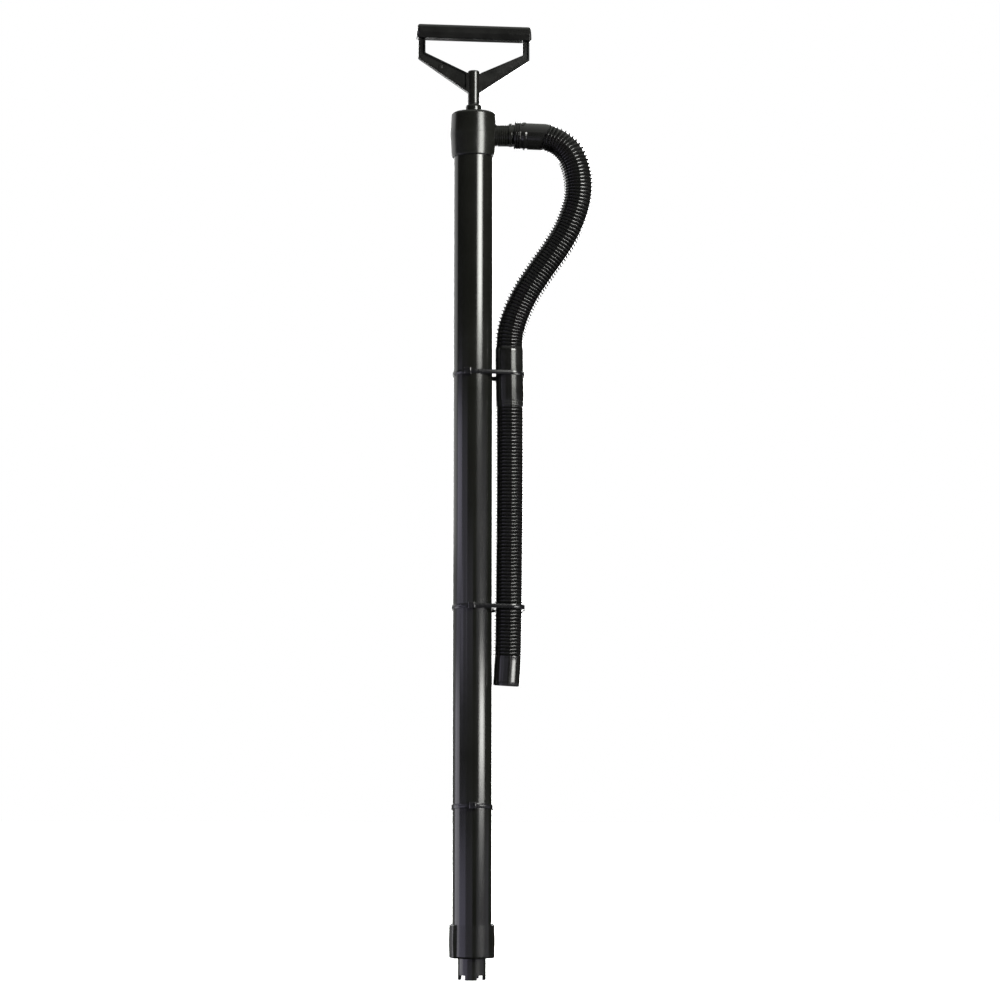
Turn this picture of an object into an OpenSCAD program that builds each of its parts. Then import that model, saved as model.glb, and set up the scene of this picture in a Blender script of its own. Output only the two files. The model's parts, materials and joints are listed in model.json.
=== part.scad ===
// Hand bilge pump with a D handle, a side spout and a corrugated discharge hose.
// Millimetres. The origin is on the barrel's axis, at the tips of the intake foot's teeth.
// +Z runs up the barrel to the handle, +X towards the spout, and the front is at -Y.

/* [Barrel] */
// Outer diameter of the barrel pipe
barrel_od = 42.16; // [41:0.02:43]
// Wall of the barrel pipe
barrel_wall = 3.56; // [3:0.02:4]
// Height of the head's lower edge
barrel_top = 878; // [700:1:1000]
// Glue gap between the barrel and its mouldings
glue_gap = 0.05; // [0.02:0.01:0.1]

/* [Foot] */
// Outer diameter of the intake spigot
spigot_od = 30; // [28:0.1:31]
// Bore of the intake spigot
spigot_bore = 25; // [22:0.1:26]
// Length of spigot below the coupling
spigot_length = 23; // [18:1:30]
// Number of teeth on the intake rim
tooth_count = 4; // [3:1:6]
// Angle that each tooth spans
tooth_angle = 50; // [30:1:55]
// Height of each tooth
tooth_height = 5; // [3:0.5:8]
// Turn of the teeth about the axis
tooth_turn = -4; // [-45:1:45]
// Diameter of the spigot's root, inside the coupling's floor
root_od = 31.2; // [31.1:0.1:34]
// Widest diameter over the foot coupling's two lugs
coupling_od = 49.4; // [48:0.1:52]
// Wall of the foot coupling's sleeve, in front of and behind the barrel
coupling_wall = 0.7; // [0.6:0.1:1.5]
// Width of each lug on the foot coupling
lug_width = 25; // [15:0.5:30]
// Turn of the lugs about the axis
lug_turn = 5; // [-45:1:45]
// Length of the foot coupling
coupling_length = 35; // [30:1:45]

/* [Head] */
// Height of the head
head_height = 48; // [46:1:56]
// Diameter of the head at its parting line
head_od = 50.3; // [49.5:0.1:54]
// Amount that the head's diameter falls away towards each end
head_draft = 2.4; // [1:0.1:2.5]
// Height of the spout's axis above the head's lower edge
spout_rise = 23.3; // [22:0.1:24]
// Outer diameter of the spout
spout_od = 24; // [22:0.1:25]
// Bore of the spout
spout_bore = 19; // [16:0.1:19.4]
// Distance from the axis to the hose's end on the spout
spout_reach = 43.7; // [42:0.1:50]
// Diameter of the gland collar
collar_od = 17.2; // [16.8:0.1:20]
// Height of the gland collar
collar_height = 10; // [6:0.5:14]

/* [Plunger] */
// Diameter of the piston rod
rod_od = 9.5; // [9:0.1:9.8]
// Running clearance on the radius of every sliding fit
running_gap = 0.05; // [0.02:0.01:0.08]
// Height of the piston rod's lower end
rod_foot = 60; // [55:1:80]
// Height of the piston body
piston_height = 15; // [12:1:20]
// Lift of the piston valve disc
piston_valve_lift = 3; // [2:0.5:4]
// Lift of the foot valve disc
foot_valve_lift = 4; // [2:0.5:5]

/* [Handle] */
// Turn of the handle about the barrel's axis
handle_turn = 7.5; // [-45:0.5:45]
// Width of the handle over its side bars
handle_width = 120.4; // [110:0.2:130]
// Width of each side bar
side_bar = 7.4; // [6:0.1:10]
// Thickness of the handle frame, front to back
frame_depth = 7; // [6:0.5:12]
// Length of the grip
grip_length = 124; // [121:1:135]
// Height of the grip's cross-section
grip_height = 15; // [13:1:18]
// Depth of the grip, front to back
grip_depth = 20; // [18:1:26]
// Diameter of the hub that holds the rod
hub_od = 13; // [12.8:0.1:16]

/* [Hose] */
// Outer diameter over the hose's ridges
hose_od = 32.6; // [31:0.1:33]
// Bore of the hose and of its cuffs
hose_bore = 25.4; // [24.6:0.1:25.6]
// Outer diameter of the end cuff and the inlet cuff
cuff_od = 28.3; // [27.5:0.1:29]
// Diameter of the lip on the inlet cuff
lip_od = 30.2; // [29:0.1:31]
// Length of the open end cuff
end_cuff_length = 31.5; // [25:0.5:40]

/* [Cable ties] */
// Width of each strap
tie_width = 4.8; // [3.6:0.1:5]
// Thickness of each strap
tie_thickness = 1.3; // [1:0.1:1.6]
// Height of the upper tie
upper_tie_z = 642; // [630:1:655]
// Height of the middle tie
middle_tie_z = 392.5; // [360:0.5:440]
// Height of the lower tie
lower_tie_z = 180; // [120:1:260]

/* [Hidden] */
$fn = 96;
eps = 1;

// Chamfer that breaks the edges of the mouldings
edge_break = 0.8;

// Barrel and the sockets that it is glued into
barrel_r = barrel_od / 2;
bore_r = barrel_r - barrel_wall;
socket_r = barrel_r + glue_gap;

// Stack at the foot, from the coupling's lower edge upwards
coupling_floor = 4;
flange_thickness = 3;
seat_thickness = 3;
gasket_thickness = 1.5;
flange_z = spigot_length + coupling_floor;
seat_z = flange_z + flange_thickness;
gasket_z = seat_z + seat_thickness;
barrel_foot_z = gasket_z + gasket_thickness;
lug_belly = 0.5;
sleeve_chamfer = 2;

// Foot valve
seat_ports = 6;
port_r = 3;
port_circle_r = 8;
foot_disc_r = 13.5;
disc_thickness = 2;
stem_r = 2;
stem_head_r = 4;
stem_head = 1;

// Head: the barrel stops under a top wall that holds the gland
head_top = barrel_top + head_height;
spout_z = barrel_top + spout_rise;
top_wall = 13;
barrel_head_z = head_top - top_wall;
ledge = 2.5;
ring_section = 3.2;
ring_slack = 0.02;
washer_thickness = 1;
gland_r = 7.95;
ledge_bore_r = 5.6;
ring_z = barrel_head_z + ledge;
washer_z = ring_z + ring_section;
gland_z = washer_z + washer_thickness;
collar_top = head_top + collar_height;

// Spout
spout_ring_r = 13.1;
spout_ring_width = 5.7;
spigot_r = 11.9;
spigot_reach = 18;
spout_groove = 0.35;
spout_groove_pitch = 2.4;
spout_root = 22;
spout_rings_x = 25.6;
// flat cut under the spout, as [x, height above the head's lower edge]
bevel_low = [21.9, 0];
bevel_high = [25.6, 12.5];

// Piston stack on the rod, from the rod's end upwards
rod_r = rod_od / 2;
stud_r = 4;
nut_thickness = 6.5;
nut_flats = 13;
stud_end = 1.5;
nut_z = rod_foot + stud_end;
piston_washer_z = nut_z + nut_thickness;
piston_washer_thickness = 1.5;
piston_washer_r = 8;
swivel_gap = 0.1;
piston_z = piston_washer_z + piston_washer_thickness + swivel_gap;
piston_clearance = 0.7;
piston_r = bore_r - piston_clearance;
piston_core_r = 13.5;
piston_base = 5;
retainer_z = piston_z + piston_height;
retainer_thickness = 3;
piston_top = retainer_z + retainer_thickness;
piston_ports = 6;
piston_port_r = 2.3;
piston_port_circle_r = 8.6;
piston_disc_r = 12.5;
piston_disc_gap = 0.3;
stop_z = piston_top + disc_thickness + piston_valve_lift;
stop_thickness = 1.5;
stop_r = 9;
bumper_z = stop_z + stop_thickness;
bumper_height = 10;
bumper_r = 8;

// Handle, measured up from the collar that its hub rests on
hub_top = collar_top + 36;
rod_top = hub_top - 10;
arm_low_z = collar_top + 11.5;
arm_high_z = hub_top - 3;
grip_z = collar_top + 69.5;
grip_top = grip_z + grip_height;
grip_pocket = 4;
hub_r = hub_od / 2;
window_half = handle_width / 2 - side_bar;
window_foot_z = collar_top + 54;
corner_z = collar_top + 48;
corner_r = 3;
rib = 2.2;
rib_height = 2;
screw_r = 2;
screw_head_r = 4;
screw_head = 2.8;
screw_head_gap = 0.1;
screw_head_sink = 0.3;
screw_bite = 18;
screw_hole = 20;

// Hose route, as the centreline's X and Z, from the spout round the loop and down beside the barrel
ROUTE = [
    [77, 900], [91, 894], [102.5, 884], [109.5, 870], [112.8, 853], [112.7, 837],
    [109, 820.5], [100.5, 799], [87.5, 777], [72.5, 755.5], [58.5, 734], [47.5, 712],
    [40.5, 690.5], [38.8, 672], [38.9, 642], [39.4, 608], [39.4, 508], [38.5, 392.5],
    [37.7, 341]
];
hose_sides = 12;
rings_per_leg = 2;
hose_r = hose_od / 2;
hose_bore_r = hose_bore / 2;
inlet_drop = 1.3;
inlet_run = ROUTE[0][0] - spout_reach;
inlet_length = norm([inlet_run, inlet_drop]);
inlet_tilt = atan(inlet_drop / inlet_run);
lip_length = 7.1;
hose_end = ROUTE[len(ROUTE) - 1];

// Cable ties
tie_gap = 0.15;
tie_head = [8, 5.2, 7];
// turns of the tie heads about the barrel, from its front
upper_head_turn = -13;
middle_head_turn = -1;
lower_head_turn = 3;
lower_tie_lean = 8;
// distances from the barrel's axis to the hose's, at the ties that hold both
upper_tie_span = 39;
middle_tie_span = 38.5;

// Points on an arc about [x, z]
function arc(x, z, r, from, to, n = 8) =
    [for (i = [0:n]) let (a = from + (to - from) * i / n) [x + r * cos(a), z + r * sin(a)]];

// Catmull-Rom point between p[i] and p[i + 1]
function spline(p, i, t) =
    let (
        last = len(p) - 1,
        a = p[max(i - 1, 0)],
        b = p[i],
        c = p[min(i + 1, last)],
        d = p[min(i + 2, last)]
    )
    0.5 * (2 * b + (c - a) * t + (2 * a - 5 * b + 4 * c - d) * t * t
        + (3 * b - a - 3 * c + d) * t * t * t);

// Outline of a strap drawn tight round a circle at the origin and another at distance d along X
function belt(r1, r2, d) =
    let (b = acos((r1 - r2) / d))
    concat(arc(0, 0, r1, b, 360 - b, 40), arc(d, 0, r2, -b, b, 28));

// A polar row of n holes of radius r on a circle of radius circle_r
module port_ring(n, r, circle_r, z, height) {
    for (i = [0:n - 1])
        rotate([0, 0, i * 360 / n])
            translate([circle_r, 0, z - eps])
                cylinder(h = height + 2 * eps, r = r);
}

module tube(outer_r, inner_r, z, height) {
    translate([0, 0, z])
        difference() {
            cylinder(h = height, r = outer_r);
            translate([0, 0, -eps])
                cylinder(h = height + 2 * eps, r = inner_r);
        }
}

module along_spout(x) {
    translate([x, 0, spout_z])
        rotate([0, 90, 0])
            children();
}

module barrel() {
    color("#1c1c1f")
        difference() {
            tube(barrel_r, bore_r, barrel_foot_z, barrel_head_z - barrel_foot_z);
            // discharge port
            along_spout(bore_r - 6)
                cylinder(h = 12, r = spout_bore / 2);
        }
}

module head_shell() {
    top_r = (head_od - head_draft) / 2;
    low_r = top_r - 0.15;
    shoulder = 3;
    parting_z = spout_z + 1;
    rotate_extrude()
        polygon(concat(
            [[0, barrel_top], [low_r - edge_break, barrel_top], [low_r, barrel_top + edge_break]],
            [[head_od / 2, parting_z]],
            arc(top_r - shoulder, head_top - shoulder, shoulder, 0, 90),
            [[0, head_top]]
        ));
}

// Slanted flat under the spout, at the head's lower edge
module spout_bevel() {
    overrun = (bevel_high - bevel_low) / 4;
    low = bevel_low - overrun;
    high = bevel_high + overrun / 2;
    translate([0, 0, barrel_top])
        rotate([90, 0, 0])
            linear_extrude(head_od, center = true)
                polygon([low, [head_od, low[1]], [head_od, high[1]], high]);
}

module pump_head() {
    color("#1b1b1e")
        difference() {
            union() {
                head_shell();
                along_spout(spout_root)
                    cylinder(h = spout_reach - spout_root, r = spout_od / 2 - spout_groove);
                // fine rings round the spout
                for (x = [spout_rings_x:spout_groove_pitch:spout_reach - spout_ring_width])
                    along_spout(x)
                        cylinder(h = spout_groove_pitch / 2, r = spout_od / 2);
                along_spout(spout_reach - spout_ring_width)
                    cylinder(h = spout_ring_width, r = spout_ring_r);
                along_spout(spout_reach - eps)
                    cylinder(h = spigot_reach + eps, r = spigot_r);
            }
            spout_bevel();
            // socket for the barrel
            translate([0, 0, barrel_top - eps])
                cylinder(h = barrel_head_z - barrel_top + eps, r = socket_r);
            // waterway through the spout
            along_spout(0)
                cylinder(h = spout_reach + spigot_reach + eps, r = spout_bore / 2);
            // gland hole, with a ledge below it
            translate([0, 0, ring_z])
                cylinder(h = head_top, r = gland_r);
            translate([0, 0, barrel_head_z - eps])
                cylinder(h = ledge + 2 * eps, r = ledge_bore_r);
        }
}

module gland_collar() {
    collar_r = collar_od / 2;
    round_r = 2.4;
    color("#202022")
        rotate_extrude()
            polygon(concat(
                [[rod_r + running_gap, gland_z], [gland_r, gland_z], [gland_r, head_top]],
                arc(collar_r - round_r, head_top + round_r, round_r, -90, 0),
                arc(collar_r - round_r, collar_top - round_r, round_r, 0, 90),
                [[rod_r + running_gap, collar_top]]
            ));
}

module rod_seal_ring() {
    inner = rod_r + running_gap;
    section_r = (gland_r - inner) / 2;
    color("#0c0c0c")
        translate([0, 0, ring_z + section_r])
            rotate_extrude()
                translate([inner + section_r, 0])
                    circle(r = section_r - ring_slack);
}

module seal_washer() {
    color("#3a3a3c")
        tube(gland_r - running_gap, rod_r + running_gap, washer_z, washer_thickness);
}

// Outer shape of the two lugs, as a full ring
module lug_ring() {
    widest_r = coupling_od / 2;
    end_r = widest_r - lug_belly;
    low = spigot_length;
    high = spigot_length + coupling_length;
    rotate_extrude()
        polygon([
            [0, low], [end_r - edge_break, low], [end_r, low + edge_break],
            [widest_r, (low + high) / 2],
            [end_r, high - edge_break], [end_r - edge_break, high], [0, high]
        ]);
}

// Thin sleeve round the barrel's foot, with a lug on each side
module foot_coupling() {
    sleeve_r = socket_r + coupling_wall;
    color("#1b1b1e")
        difference() {
            union() {
                translate([0, 0, spigot_length + sleeve_chamfer])
                    cylinder(h = coupling_length - sleeve_chamfer, r = sleeve_r);
                translate([0, 0, spigot_length])
                    cylinder(h = sleeve_chamfer, r1 = sleeve_r - sleeve_chamfer, r2 = sleeve_r);
                intersection() {
                    lug_ring();
                    rotate([0, 0, lug_turn])
                        translate([0, 0, spigot_length + coupling_length / 2])
                            cube([coupling_od, lug_width, coupling_length], center = true);
                }
            }
            translate([0, 0, flange_z])
                cylinder(h = coupling_length, r = socket_r);
            translate([0, 0, spigot_length - eps])
                cylinder(h = coupling_floor + 2 * eps, r = root_od / 2 + glue_gap);
        }
}

module intake_foot() {
    notch = 360 / tooth_count - tooth_angle;
    reach = spigot_od;
    color("#1d1d20")
        difference() {
            union() {
                cylinder(h = seat_z, r = spigot_od / 2);
                translate([0, 0, spigot_length])
                    cylinder(h = seat_z - spigot_length, r = root_od / 2);
                translate([0, 0, flange_z])
                    cylinder(h = flange_thickness, r = barrel_r);
            }
            translate([0, 0, -eps])
                cylinder(h = seat_z + 2 * eps, r = spigot_bore / 2);
            // notches between the teeth
            for (i = [0:tooth_count - 1])
                rotate([0, 0, tooth_turn + i * 360 / tooth_count + tooth_angle / 2])
                    translate([0, 0, -eps])
                        linear_extrude(tooth_height + eps)
                            polygon([
                                [0, 0],
                                [reach, 0],
                                [reach * cos(notch), reach * sin(notch)]
                            ]);
        }
}

module foot_gasket() {
    color("#0c0c0c")
        tube(barrel_r, bore_r, gasket_z, gasket_thickness);
}

module foot_valve_seat() {
    color("#26262a")
        difference() {
            tube(barrel_r, stem_r + running_gap, seat_z, seat_thickness);
            port_ring(seat_ports, port_r, port_circle_r, seat_z, seat_thickness);
        }
}

module foot_valve_disc() {
    color("#101010")
        tube(foot_disc_r, stem_r, gasket_z, disc_thickness);
}

module foot_valve_stem() {
    foot = seat_z - foot_valve_lift - stem_head;
    color("#2c2c30") {
        translate([0, 0, foot])
            cylinder(h = gasket_z + disc_thickness - foot, r = stem_r);
        translate([0, 0, foot])
            cylinder(h = stem_head, r = stem_head_r);
        translate([0, 0, gasket_z + disc_thickness])
            cylinder(h = stem_head, r = stem_head_r);
    }
}

// One hollow polyhedron swept along the route: outer rings forward, then inner rings back
module discharge_hose() {
    legs = len(ROUTE) - 1;
    path = concat(
        [for (i = [0:legs - 1]) for (k = [0:rings_per_leg - 1]) spline(ROUTE, i, k / rings_per_leg)],
        [hose_end]
    );
    last = len(path) - 1;
    ahead = [for (i = [0:last]) path[min(i + 1, last)] - path[max(i - 1, 0)]];
    // the end rings are square to the cuffs that they meet
    inlet_dir = [cos(inlet_tilt), -sin(inlet_tilt)];
    cuff_dir = [0, -1];
    dirs = [for (i = [0:last]) i == 0 ? inlet_dir : i == last ? cuff_dir : ahead[i] / norm(ahead[i])];
    function ring(i, r) =
        [for (s = [0:hose_sides - 1]) let (a = 360 * s / hose_sides)
            [path[i][0] - dirs[i][1] * r * cos(a), r * sin(a), path[i][1] + dirs[i][0] * r * cos(a)]];
    rings = concat([for (i = [0:last]) ring(i, hose_r)], [for (i = [last:-1:0]) ring(i, hose_bore_r)]);
    count = len(rings);
    points = [for (one = rings) each one];
    faces = [for (i = [0:count - 1]) for (s = [0:hose_sides - 1])
        let (a = i * hose_sides, b = ((i + 1) % count) * hose_sides, t = (s + 1) % hose_sides)
            [a + s, a + t, b + t, b + s]];
    color("#18181a")
        polyhedron(points = points, faces = faces, convexity = 10);
}

// The cuff droops a little, so its lip is trimmed square where it meets the spout's ring
module hose_inlet_cuff() {
    color("#1d1d20")
        difference() {
            translate([spout_reach, 0, spout_z])
                rotate([0, 90 + inlet_tilt, 0])
                    difference() {
                        union() {
                            cylinder(h = inlet_length, r = cuff_od / 2);
                            translate([0, 0, -eps])
                                cylinder(h = lip_length + eps, r = lip_od / 2);
                        }
                        translate([0, 0, -2 * eps])
                            cylinder(h = inlet_length + 3 * eps, r = hose_bore_r);
                    }
            translate([spout_reach - lip_od, -lip_od, spout_z - lip_od])
                cube([lip_od, 2 * lip_od, 2 * lip_od]);
        }
}

module hose_end_cuff() {
    color("#1d1d20")
        translate([hose_end[0], 0, hose_end[1] - end_cuff_length])
            tube(cuff_od / 2, hose_bore_r, 0, end_cuff_length);
}

module tie_strap(r1, r2, d) {
    t = tie_thickness;
    linear_extrude(tie_width, center = true)
        difference() {
            polygon(belt(r1 + t, r2 + t, d));
            polygon(belt(r1, r2, d));
        }
}

module tie_head_block(r, turn) {
    rotate([0, 0, turn])
        translate([0, -r - tie_head[1] / 2, 0])
            cube(tie_head, center = true);
}

module cable_tie_upper() {
    inner = barrel_r + tie_gap;
    color("#141416")
        translate([0, 0, upper_tie_z]) {
            tie_strap(inner, hose_r + tie_gap, upper_tie_span);
            tie_head_block(inner + tie_thickness / 2, upper_head_turn);
        }
}

module cable_tie_middle() {
    inner = barrel_r + tie_gap;
    color("#141416")
        translate([0, 0, middle_tie_z]) {
            tie_strap(inner, hose_r + tie_gap, middle_tie_span);
            tie_head_block(inner + tie_thickness / 2, middle_head_turn);
        }
}

module cable_tie_lower() {
    // the tilted ring needs room for its width against the upright barrel
    inner = barrel_r / cos(lower_tie_lean) + tie_width / 2 * sin(lower_tie_lean) + tie_gap;
    color("#141416")
        translate([0, 0, lower_tie_z])
            rotate([-lower_tie_lean, 0, 0]) {
                tube(inner + tie_thickness, inner, -tie_width / 2, tie_width);
                tie_head_block(inner + tie_thickness / 2, lower_head_turn);
            }
}

module piston_body() {
    color("#2a2a2e")
        difference() {
            union() {
                translate([0, 0, piston_z])
                    cylinder(h = piston_base, r = piston_r);
                translate([0, 0, piston_z])
                    cylinder(h = piston_height, r = piston_core_r);
            }
            translate([0, 0, piston_z - eps])
                cylinder(h = piston_height + 2 * eps, r = stud_r + running_gap);
            port_ring(piston_ports, piston_port_r, piston_port_circle_r, piston_z, piston_height);
        }
}

// U-cup with two lips that face up
module piston_cup_seal() {
    low = piston_z + piston_base;
    lip = 1.4;
    base = 4;
    taper = 0.6;
    lip_top = retainer_z - 0.5;
    outer = bore_r - running_gap;
    color("#101010")
        rotate_extrude()
            polygon([
                [piston_core_r, low], [outer - taper, low], [outer, low + base],
                [outer, lip_top], [outer - lip, lip_top],
                [(outer + piston_core_r) / 2, low + base],
                [piston_core_r + taper, retainer_z], [piston_core_r, retainer_z]
            ]);
}

module piston_seal_retainer() {
    color("#2a2a2e")
        difference() {
            tube(piston_r, stud_r + running_gap, retainer_z, retainer_thickness);
            port_ring(piston_ports, piston_port_r, piston_port_circle_r, retainer_z, retainer_thickness);
        }
}

module piston_valve_disc() {
    color("#101010")
        tube(piston_disc_r, rod_r + piston_disc_gap, piston_top, disc_thickness);
}

module piston_rod() {
    color("#34343a")
        difference() {
            union() {
                translate([0, 0, rod_foot])
                    cylinder(h = piston_top - rod_foot + eps, r = stud_r);
                translate([0, 0, piston_top])
                    cylinder(h = rod_top - piston_top, r = rod_r);
            }
            // pilot hole for the handle screw
            translate([0, 0, rod_top - screw_hole])
                cylinder(h = screw_hole + eps, r = screw_r);
        }
}

module piston_washer() {
    color("silver")
        tube(piston_washer_r, stud_r, piston_washer_z, piston_washer_thickness);
}

module rod_nut() {
    color("silver")
        translate([0, 0, nut_z])
            difference() {
                cylinder(h = nut_thickness, r = nut_flats / 2 / cos(30), $fn = 6);
                translate([0, 0, -eps])
                    cylinder(h = nut_thickness + 2 * eps, r = stud_r);
            }
}

module valve_stop_washer() {
    color("silver")
        tube(stop_r, rod_r, stop_z, stop_thickness);
}

module rod_bumper() {
    color("#0e0e0e")
        tube(bumper_r, rod_r, bumper_z, bumper_height);
}

// One side's outline of the handle frame, from the hub out and round, at +X
module frame_outline() {
    half = handle_width / 2;
    top = grip_z + grip_pocket;
    arm_slope = atan((corner_z - arm_low_z) / (half - hub_r));
    corner_rise = corner_r * 0.35;
    polygon(concat(
        [[0, arm_low_z], [hub_r, arm_low_z]],
        arc(half - corner_r, corner_z + corner_rise, corner_r, arm_slope - 90, 0),
        [[half, top], [window_half, top], [window_half, window_foot_z], [hub_r, arm_high_z], [0, arm_high_z]]
    ));
}

// Recess in the face of an arm, inside its border rib
module arm_recess() {
    half = handle_width / 2;
    hub_rib = 3;
    polygon([
        [hub_r + hub_rib, arm_low_z + 2 * rib],
        [half - 4 * rib, corner_z + rib / 2],
        [half - 2 * rib, corner_z + 2 * rib],
        [window_half - rib / 2, window_foot_z - 1.5 * rib],
        [hub_r + hub_rib, arm_high_z - rib]
    ]);
}

module handle_side() {
    difference() {
        rotate([90, 0, 0])
            linear_extrude(frame_depth, center = true)
                frame_outline();
        for (y = [-frame_depth / 2 - eps, frame_depth / 2 - rib_height])
            translate([0, y + rib_height + eps, 0])
                rotate([90, 0, 0])
                    linear_extrude(rib_height + eps)
                        arm_recess();
    }
}

module handle_frame() {
    color("#17171a")
        rotate([0, 0, handle_turn])
            difference() {
                union() {
                    handle_side();
                    mirror([1, 0, 0])
                        handle_side();
                    translate([0, 0, collar_top])
                        cylinder(h = hub_top - collar_top, r = hub_r);
                }
                translate([0, 0, collar_top - eps])
                    cylinder(h = rod_top - collar_top + eps, r = rod_r);
                // screw hole and the recess for its head
                translate([0, 0, rod_top - eps])
                    cylinder(h = hub_top - rod_top + 2 * eps, r = screw_r);
                translate([0, 0, hub_top - screw_head])
                    cylinder(h = screw_head + eps, r = screw_head_r);
            }
}

module handle_grip() {
    half_depth = grip_depth / 2;
    crease_z = grip_z + grip_height * 0.4;
    crown = 3;
    crown_inset = 1;
    foot_chamfer = 2.5;
    pocket_fit = 0.1;
    color("#17171a")
        rotate([0, 0, handle_turn])
            difference() {
                rotate([90, 0, 90])
                    linear_extrude(grip_length, center = true)
                        polygon(concat(
                            [[-half_depth + foot_chamfer, grip_z], [half_depth - foot_chamfer, grip_z]],
                            [[half_depth, crease_z]],
                            arc(half_depth - crown - crown_inset, grip_top - crown, crown, 10, 90, 5),
                            arc(-half_depth + crown + crown_inset, grip_top - crown, crown, 90, 170, 5),
                            [[-half_depth, crease_z]]
                        ));
                // pockets for the side bars
                for (side = [-1, 1])
                    translate([side * (window_half + side_bar / 2), 0, grip_z])
                        cube(
                            [side_bar + pocket_fit, frame_depth + pocket_fit, 2 * grip_pocket + pocket_fit],
                            center = true
                        );
            }
}

module handle_screw() {
    shank_z = rod_top - screw_bite;
    color("silver") {
        translate([0, 0, hub_top - screw_head])
            cylinder(h = screw_head - screw_head_sink, r = screw_head_r - screw_head_gap);
        translate([0, 0, shank_z])
            cylinder(h = hub_top - screw_head - shank_z + eps, r = screw_r);
    }
}

barrel();
pump_head();
gland_collar();
rod_seal_ring();
seal_washer();
foot_coupling();
intake_foot();
foot_gasket();
foot_valve_seat();
foot_valve_disc();
foot_valve_stem();
discharge_hose();
hose_inlet_cuff();
hose_end_cuff();
cable_tie_upper();
cable_tie_middle();
cable_tie_lower();
piston_body();
piston_cup_seal();
piston_seal_retainer();
piston_valve_disc();
piston_rod();
piston_washer();
rod_nut();
valve_stop_washer();
rod_bumper();
handle_frame();
handle_grip();
handle_screw();
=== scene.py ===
"""Looks of a hand bilge pump: a long black pipe with a D handle and a corrugated hose.

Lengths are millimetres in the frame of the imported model, and MM turns them into metres.
"""

import json
import math

import bmesh
import bpy
from mathutils import Matrix, Vector


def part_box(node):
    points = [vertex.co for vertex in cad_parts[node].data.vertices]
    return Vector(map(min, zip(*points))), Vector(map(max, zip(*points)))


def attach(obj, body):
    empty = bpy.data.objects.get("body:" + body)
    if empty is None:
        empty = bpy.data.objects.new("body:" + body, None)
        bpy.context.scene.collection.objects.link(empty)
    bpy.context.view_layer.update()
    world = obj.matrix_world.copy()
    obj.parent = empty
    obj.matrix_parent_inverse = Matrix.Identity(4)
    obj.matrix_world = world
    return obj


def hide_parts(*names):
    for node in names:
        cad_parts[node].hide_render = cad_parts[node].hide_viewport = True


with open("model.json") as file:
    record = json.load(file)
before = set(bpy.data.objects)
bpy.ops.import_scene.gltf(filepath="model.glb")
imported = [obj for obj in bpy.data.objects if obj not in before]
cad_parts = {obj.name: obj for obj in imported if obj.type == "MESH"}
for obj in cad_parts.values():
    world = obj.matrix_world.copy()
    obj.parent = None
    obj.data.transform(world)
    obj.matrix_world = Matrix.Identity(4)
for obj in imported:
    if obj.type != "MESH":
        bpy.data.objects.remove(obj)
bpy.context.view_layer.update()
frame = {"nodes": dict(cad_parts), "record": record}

MM = 0.001
SIDES = 192

# Camera, with its angles in degrees and its lens in millimetres of focal length
CAMERA_X = 29.3
CAMERA_Z = 292.6
CAMERA_DISTANCE = 3118
CAMERA_PITCH = 3.95
CAMERA_ROLL = -0.083
CAMERA_LENS = 105.3

# Hose route, as the centreline's X and Z, from the spout round the loop and down beside the barrel
ROUTE = [
    (77, 900), (91, 894), (102.5, 884), (109.5, 870), (112.8, 853), (112.7, 837),
    (109, 820.5), (100.5, 799), (87.5, 777), (72.5, 755.5), (58.5, 734), (47.5, 712),
    (40.5, 690.5), (38.8, 672), (38.9, 642), (39.4, 608), (39.4, 508), (38.5, 392.5),
    (37.7, 341),
]
# Places in ROUTE where the middle cuff starts and ends
CUFF_TOP = 13
CUFF_FOOT = 15
HOSE_SIDES = 64
RIDGES = 72
# Half of one ridge: share of the pitch from its crest, and height between root and crest
RIDGE_SHAPE = (
    (0.0, 1.0), (0.07, 0.88), (0.15, 0.52), (0.23, 0.15), (0.31, 0.0), (0.42, -0.03),
)
CREST_R = 16.3
ROOT_R = 14.1
LIP_R = 15.1
INLET_R = 14.15
MID_CUFF_R = 15
END_CUFF_R = 14.15
HOSE_BORE_R = 12.7
LIP_LENGTH = 7.1
END_CUFF_LENGTH = 31.5
END_CUFF_LEAN = 3.4
SEAM_HEIGHT = 0.3

# Barrel, head and spout
BARREL_WALL = 3.56
SOCKET_GAP = 0.05
SPOUT_RISE = 23.3
SPOUT_REACH = 43.7
SPOUT_BORE_R = 9.5
GLAND_R = 7.95

# Handle
HANDLE_TURN = 7.5  # degrees
ROD_R = 4.75

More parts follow.
